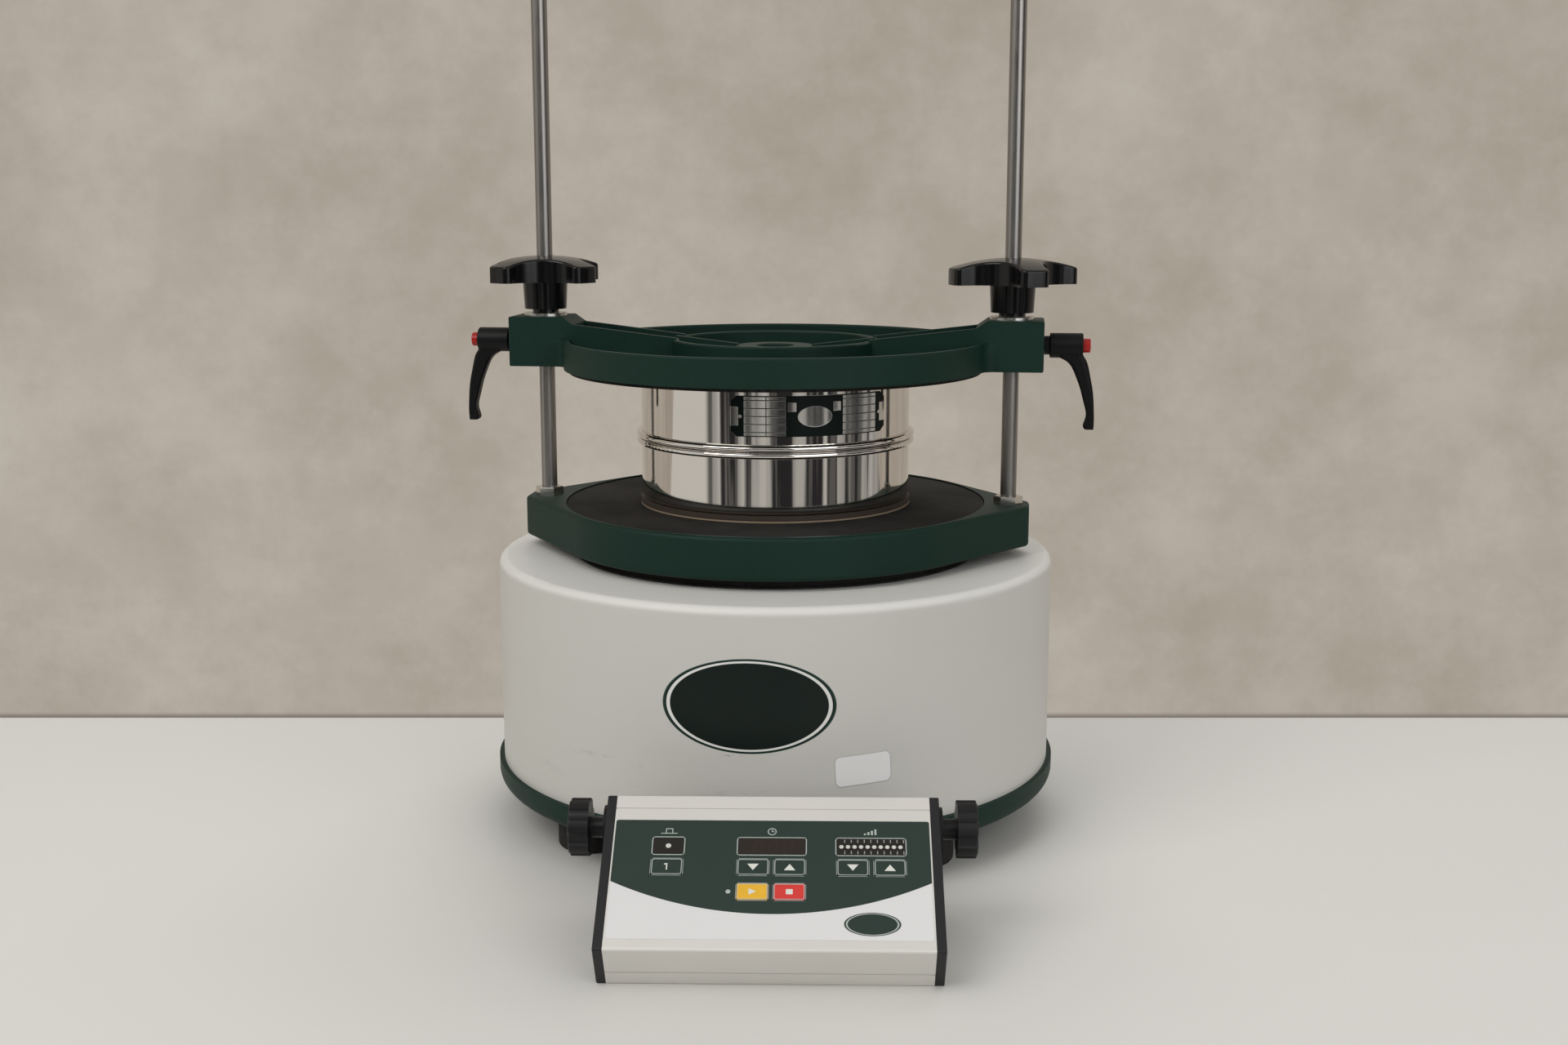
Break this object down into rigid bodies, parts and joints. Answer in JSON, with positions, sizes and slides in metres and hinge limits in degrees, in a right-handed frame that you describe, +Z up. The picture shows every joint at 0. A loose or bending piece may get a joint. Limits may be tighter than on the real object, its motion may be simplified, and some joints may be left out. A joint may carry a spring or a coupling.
{
  "type": "sieve shaker",
  "caption": "Electromagnetic laboratory sieve shaker: drum drive, sieve stack, clamp bridge on guide rods, cross knobs, levers and a tilting control unit.",
  "frame": {"origin": "middle of the bounding box, on the table", "axes": "+Z up along the guide rods, +X from rod to rod, -Y to the front"},
  "size_m": [0.4808, 0.5923, 0.741],
  "materials": {
    "green_paint": "fine textured powder coat",
    "drum_paint": "satin paint",
    "foot_rubber": "matte",
    "seal_rubber": "matte",
    "mat_rubber": "dusty matte",
    "buffer_rubber": "matte",
    "fastener_steel": "zinc plated",
    "weight_iron": "raw casting",
    "core_steel": "laminated sheet",
    "coil_copper": "varnished winding",
    "head_aluminium": "machined",
    "plate_grey": "satin",
    "black_plastic": "fine texture",
    "rocker_plastic": "gloss",
    "pin_brass": "bare",
    "disc_tan": "smooth",
    "sieve_steel": "mirror polished",
    "mesh_steel": "woven wire",
    "label_green": "printed sheet",
    "rod_steel": "polished",
    "knob_black": "gloss",
    "lever_black": "fine texture",
    "button_red": "gloss",
    "unit_aluminium": "anodised",
    "cap_black": "fine texture",
    "side_knob_black": "satin",
    "foil_print": "printed film",
    "window_dark": "tinted",
    "key_green": "printed film",
    "key_yellow": "printed film",
    "key_red": "printed film",
    "board_green": "solder resist",
    "switch_black": "matte",
    "stand_black": "powder coat"
  },
  "bodies": {
    "base": {"base_pan": "green_paint", "housing_drum": "drum_paint", "rubber_feet": "foot_rubber", "foot_screws": "fastener_steel", "drum_seal": "seal_rubber", "counterweight": "weight_iron", "spring_buffers": "buffer_rubber", "magnet_core": "core_steel", "magnet_coil": "coil_copper", "connector_plate": "plate_grey", "panel_screws": "fastener_steel", "mains_inlet": "black_plastic", "inlet_pins": "pin_brass", "rocker_frame": "black_plastic", "control_socket": "black_plastic"},
    "mains_switch": {"power_rocker": "rocker_plastic"},
    "table": {"armature": "core_steel", "drive_head": "head_aluminium", "sieve_plate": "green_paint", "plate_mat": "mat_rubber", "guide_rods": "rod_steel", "rod_nuts": "fastener_steel", "stack_disc": "disc_tan", "receiving_pan": "sieve_steel", "sieve_frame": "sieve_steel", "sieve_mesh": "mesh_steel", "sieve_label": "label_green", "label_rivets": "fastener_steel"},
    "bridge": {"clamp_bridge": "green_paint", "bridge_mat": "mat_rubber", "bridge_washers": "fastener_steel"},
    "control_stand": {"unit_stand": "stand_black", "stand_pads": "foot_rubber"},
    "control_unit": {"unit_profile": "unit_aluminium", "end_cap_left": "cap_black", "end_cap_right": "cap_black", "front_foil": "foil_print", "display_windows": "window_dark", "control_board": "board_green", "key_switches": "switch_black", "unit_socket": "black_plastic"},
    "knob_left": {"cross_knob_left": "knob_black"},
    "clamp_lever_left": {"lever_left": "lever_black", "lever_stud_left": "lever_black"},
    "lever_release_left": {"lever_button_left": "button_red"},
    "stand_knob_left": {"side_knob_left": "side_knob_black"},
    "knob_right": {"cross_knob_right": "knob_black"},
    "clamp_lever_right": {"lever_right": "lever_black", "lever_stud_right": "lever_black"},
    "lever_release_right": {"lever_button_right": "button_red"},
    "stand_knob_right": {"side_knob_right": "side_knob_black"},
    "key_interval_body": {"key_interval": "key_green"},
    "key_time_down_body": {"key_time_down": "key_green"},
    "key_time_up_body": {"key_time_up": "key_green"},
    "key_power_down_body": {"key_power_down": "key_green"},
    "key_power_up_body": {"key_power_up": "key_green"},
    "key_start_body": {"key_start": "key_yellow"},
    "key_stop_body": {"key_stop": "key_red"}
  },
  "joints": [
    {"name": "table_shake", "type": "slide", "parent": "base", "child": "table", "axis": [0, 0, 1], "range_m": [-0.0015, 0.0015], "stiffness_N_per_m": 400000, "springref_m": 0.0006, "deforming": ["drum_seal", "spring_buffers"]},
    {"name": "bridge_height", "type": "slide", "parent": "table", "child": "bridge", "axis": [0, 0, 1], "range_m": [0, 0.3]},
    {"name": "mains_rocker", "type": "hinge", "parent": "base", "child": "mains_switch", "pos_m": [-0.004, 0.27904, 0.095], "axis": [1, 0, 0], "range_deg": [0, 24]},
    {"name": "knob_left_turn", "type": "hinge", "parent": "bridge", "child": "knob_left", "pos_m": [-0.178, 0.08123, 0.406], "axis": [0, 0, 1], "range_deg": [-360, 360]},
    {"name": "lever_left_turn", "type": "hinge", "parent": "bridge", "child": "clamp_lever_left", "pos_m": [-0.2063, 0.08123, 0.361], "axis": [1, 0, 0], "range_deg": [-120, 120]},
    {"name": "lever_left_release", "type": "slide", "parent": "clamp_lever_left", "child": "lever_release_left", "axis": [1, 0, 0], "range_m": [0, 0.0025], "stiffness_N_per_m": 1500, "springref_m": -0.002},
    {"name": "knob_right_turn", "type": "hinge", "parent": "bridge", "child": "knob_right", "pos_m": [0.178, 0.08123, 0.406], "axis": [0, 0, 1], "range_deg": [-360, 360]},
    {"name": "lever_right_turn", "type": "hinge", "parent": "bridge", "child": "clamp_lever_right", "pos_m": [0.2063, 0.08123, 0.361], "axis": [1, 0, 0], "range_deg": [-120, 120]},
    {"name": "lever_right_release", "type": "slide", "parent": "clamp_lever_right", "child": "lever_release_right", "axis": [-1, 0, 0], "range_m": [0, 0.0025], "stiffness_N_per_m": 1500, "springref_m": -0.002},
    {"name": "control_unit_place", "type": "slide", "parent": "base", "child": "control_stand", "axis": [0, -1, 0], "range_m": [0, 0.15]},
    {"name": "control_unit_tilt", "type": "hinge", "parent": "control_stand", "child": "control_unit", "pos_m": [0.0343, -0.18627, 0.07111], "axis": [-0.9941, -0.1089, 0], "range_deg": [0, 60]},
    {"name": "stand_knob_left_turn", "type": "hinge", "parent": "control_unit", "child": "stand_knob_left", "pos_m": [0.0343, -0.18627, 0.07111], "axis": [0.9941, 0.1089, 0], "range_deg": [-360, 360]},
    {"name": "stand_knob_right_turn", "type": "hinge", "parent": "control_unit", "child": "stand_knob_right", "pos_m": [0.0343, -0.18627, 0.07111], "axis": [0.9941, 0.1089, 0], "range_deg": [-360, 360]},
    {"name": "key_interval_press", "type": "slide", "parent": "control_unit", "child": "key_interval_body", "axis": [-0.058, 0.5297, -0.8462], "range_m": [0, 0.0004], "stiffness_N_per_m": 3000, "springref_m": -0.0003},
    {"name": "key_time_down_press", "type": "slide", "parent": "control_unit", "child": "key_time_down_body", "axis": [-0.058, 0.5297, -0.8462], "range_m": [0, 0.0004], "stiffness_N_per_m": 3000, "springref_m": -0.0003},
    {"name": "key_time_up_press", "type": "slide", "parent": "control_unit", "child": "key_time_up_body", "axis": [-0.058, 0.5297, -0.8462], "range_m": [0, 0.0004], "stiffness_N_per_m": 3000, "springref_m": -0.0003},
    {"name": "key_power_down_press", "type": "slide", "parent": "control_unit", "child": "key_power_down_body", "axis": [-0.058, 0.5297, -0.8462], "range_m": [0, 0.0004], "stiffness_N_per_m": 3000, "springref_m": -0.0003},
    {"name": "key_power_up_press", "type": "slide", "parent": "control_unit", "child": "key_power_up_body", "axis": [-0.058, 0.5297, -0.8462], "range_m": [0, 0.0004], "stiffness_N_per_m": 3000, "springref_m": -0.0003},
    {"name": "key_start_press", "type": "slide", "parent": "control_unit", "child": "key_start_body", "axis": [-0.058, 0.5297, -0.8462], "range_m": [0, 0.0004], "stiffness_N_per_m": 3000, "springref_m": -0.0003},
    {"name": "key_stop_press", "type": "slide", "parent": "control_unit", "child": "key_stop_body", "axis": [-0.058, 0.5297, -0.8462], "range_m": [0, 0.0004], "stiffness_N_per_m": 3000, "springref_m": -0.0003}
  ]
}
